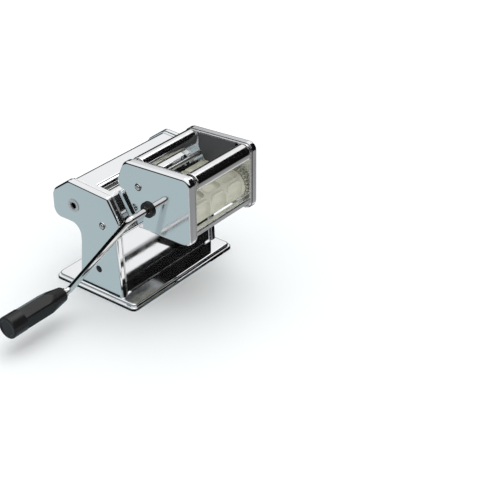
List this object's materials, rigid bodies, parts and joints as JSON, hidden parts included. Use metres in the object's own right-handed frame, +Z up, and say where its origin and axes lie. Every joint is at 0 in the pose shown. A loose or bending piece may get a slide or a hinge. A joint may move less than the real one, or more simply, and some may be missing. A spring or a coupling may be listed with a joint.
{
  "type": "crank ravioli maker",
  "caption": "Hand cranked sheet roller with a ravioli attachment hung on its slanted front, and a plug-in crank with a turning grip.",
  "frame": {"origin": "middle of the base plate's resting face, on the table", "axes": "+X along the rollers to the thickness knob, -Y towards the ravioli attachment, +Z up"},
  "size_m": [0.3498, 0.194, 0.181],
  "materials": {
    "polished_sheet": "polished",
    "frame_steel": "satin",
    "black_painted_steel": "satin",
    "plated_fasteners": "bright",
    "roller_chrome": "polished",
    "crank_chrome": "polished",
    "gear_steel": "satin",
    "mould_ivory": "satin",
    "black_plastic": "gloss",
    "dark_plastic": "matt",
    "grey_plastic": "matt"
  },
  "bodies": {
    "machine": {"base_plate": "polished_sheet", "base_screws": "plated_fasteners", "left_side_cover": "polished_sheet", "right_side_cover": "polished_sheet", "left_frame_pan": "frame_steel", "right_frame_pan": "frame_steel", "rear_hood": "polished_sheet", "front_panel": "polished_sheet", "lower_front_cover": "polished_sheet", "dough_slide": "frame_steel", "hanging_rail": "black_painted_steel", "rail_rivets": "plated_fasteners", "crank_bush": "grey_plastic", "clamp_socket": "dark_plastic", "drive_roller_bush": "dark_plastic", "tie_rods": "frame_steel", "cover_screws": "plated_fasteners", "cover_washers": "plated_fasteners", "frame_screws": "plated_fasteners", "dough_scrapers": "frame_steel", "detent_plate": "dark_plastic"},
    "drive_roller": {"drive_roller": "roller_chrome", "drive_roller_gear": "gear_steel"},
    "gap_carriage": {"gap_blocks": "gear_steel"},
    "driven_roller": {"driven_roller": "roller_chrome", "driven_roller_gear": "gear_steel"},
    "gap_shaft": {"gap_shaft": "frame_steel", "knob_screw": "plated_fasteners", "knob_spring": "frame_steel"},
    "knob": {"thickness_knob": "black_plastic", "detent_pin": "frame_steel", "knob_cap": "grey_plastic"},
    "attachment": {"attachment_left_cap": "polished_sheet", "attachment_right_cap": "polished_sheet", "attachment_left_pan": "frame_steel", "attachment_right_pan": "frame_steel", "hopper_left_wall": "dark_plastic", "hopper_right_wall": "dark_plastic", "hub_bush": "black_plastic", "mould_bushes": "dark_plastic", "lower_cross_bar": "frame_steel", "hanger_plate": "black_painted_steel", "attachment_tie_rod": "frame_steel", "cap_screws": "plated_fasteners", "cap_washers": "plated_fasteners"},
    "rear_mould": {"rear_mould_roller": "mould_ivory", "rear_mould_gear": "mould_ivory"},
    "front_mould": {"front_mould_roller": "mould_ivory", "front_mould_gear": "mould_ivory"},
    "front_guide": {"front_guide_roller": "roller_chrome"},
    "rear_guide": {"rear_guide_roller": "roller_chrome"},
    "crank": {"crank_rod": "crank_chrome", "crank_ferrule": "crank_chrome", "spindle_washer": "frame_steel"},
    "grip": {"crank_grip": "black_plastic", "grip_end_cap": "dark_plastic"}
  },
  "joints": [
    {"name": "drive_roller_spin", "type": "hinge", "parent": "machine", "child": "drive_roller", "pos_m": [0, 0.0276, 0.1115], "axis": [1, 0, 0], "continuous": true},
    {"name": "gap_turn", "type": "hinge", "parent": "machine", "child": "gap_shaft", "pos_m": [0, -0.024, 0.1115], "axis": [1, 0, 0], "range_deg": [0, 270]},
    {"name": "knob_pull", "type": "slide", "parent": "gap_shaft", "child": "knob", "axis": [1, 0, 0], "range_m": [0, 0.0035], "stiffness_N_per_m": 600, "springref_m": -0.003, "deforming": ["knob_spring"]},
    {"name": "gap_slide", "type": "slide", "parent": "machine", "child": "gap_carriage", "axis": [0, -1, 0], "range_m": [0, 0.0027]},
    {"name": "driven_roller_spin", "type": "hinge", "parent": "gap_carriage", "child": "driven_roller", "pos_m": [0, -0.0007, 0.1115], "axis": [1, 0, 0], "continuous": true},
    {"name": "attachment_lift", "type": "slide", "parent": "machine", "child": "attachment", "axis": [0, 0, 1], "range_m": [0, 0.012]},
    {"name": "rear_mould_spin", "type": "hinge", "parent": "attachment", "child": "rear_mould", "pos_m": [0, -0.065, 0.125], "axis": [1, 0, 0], "continuous": true},
    {"name": "front_mould_spin", "type": "hinge", "parent": "attachment", "child": "front_mould", "pos_m": [0, -0.1025, 0.125], "axis": [1, 0, 0], "continuous": true},
    {"name": "front_guide_spin", "type": "hinge", "parent": "attachment", "child": "front_guide", "pos_m": [0, -0.118, 0.17], "axis": [1, 0, 0], "continuous": true},
    {"name": "rear_guide_spin", "type": "hinge", "parent": "attachment", "child": "rear_guide", "pos_m": [0, -0.04, 0.1675], "axis": [1, 0, 0], "continuous": true},
    {"name": "crank_pull", "type": "slide", "parent": "rear_mould", "child": "crank", "axis": [-1, 0, 0], "range_m": [0, 0.02]},
    {"name": "grip_spin", "type": "hinge", "parent": "crank", "child": "grip", "pos_m": [0, -0.0067, 0.03349], "axis": [1, 0, 0], "continuous": true}
  ],
  "couplings": [
    {"joint": "driven_roller_spin", "follows": "drive_roller_spin", "ratio": -1},
    {"joint": "gap_turn", "follows": "gap_slide", "rad_per_m": 1745.2},
    {"joint": "front_mould_spin", "follows": "rear_mould_spin", "ratio": -1}
  ]
}
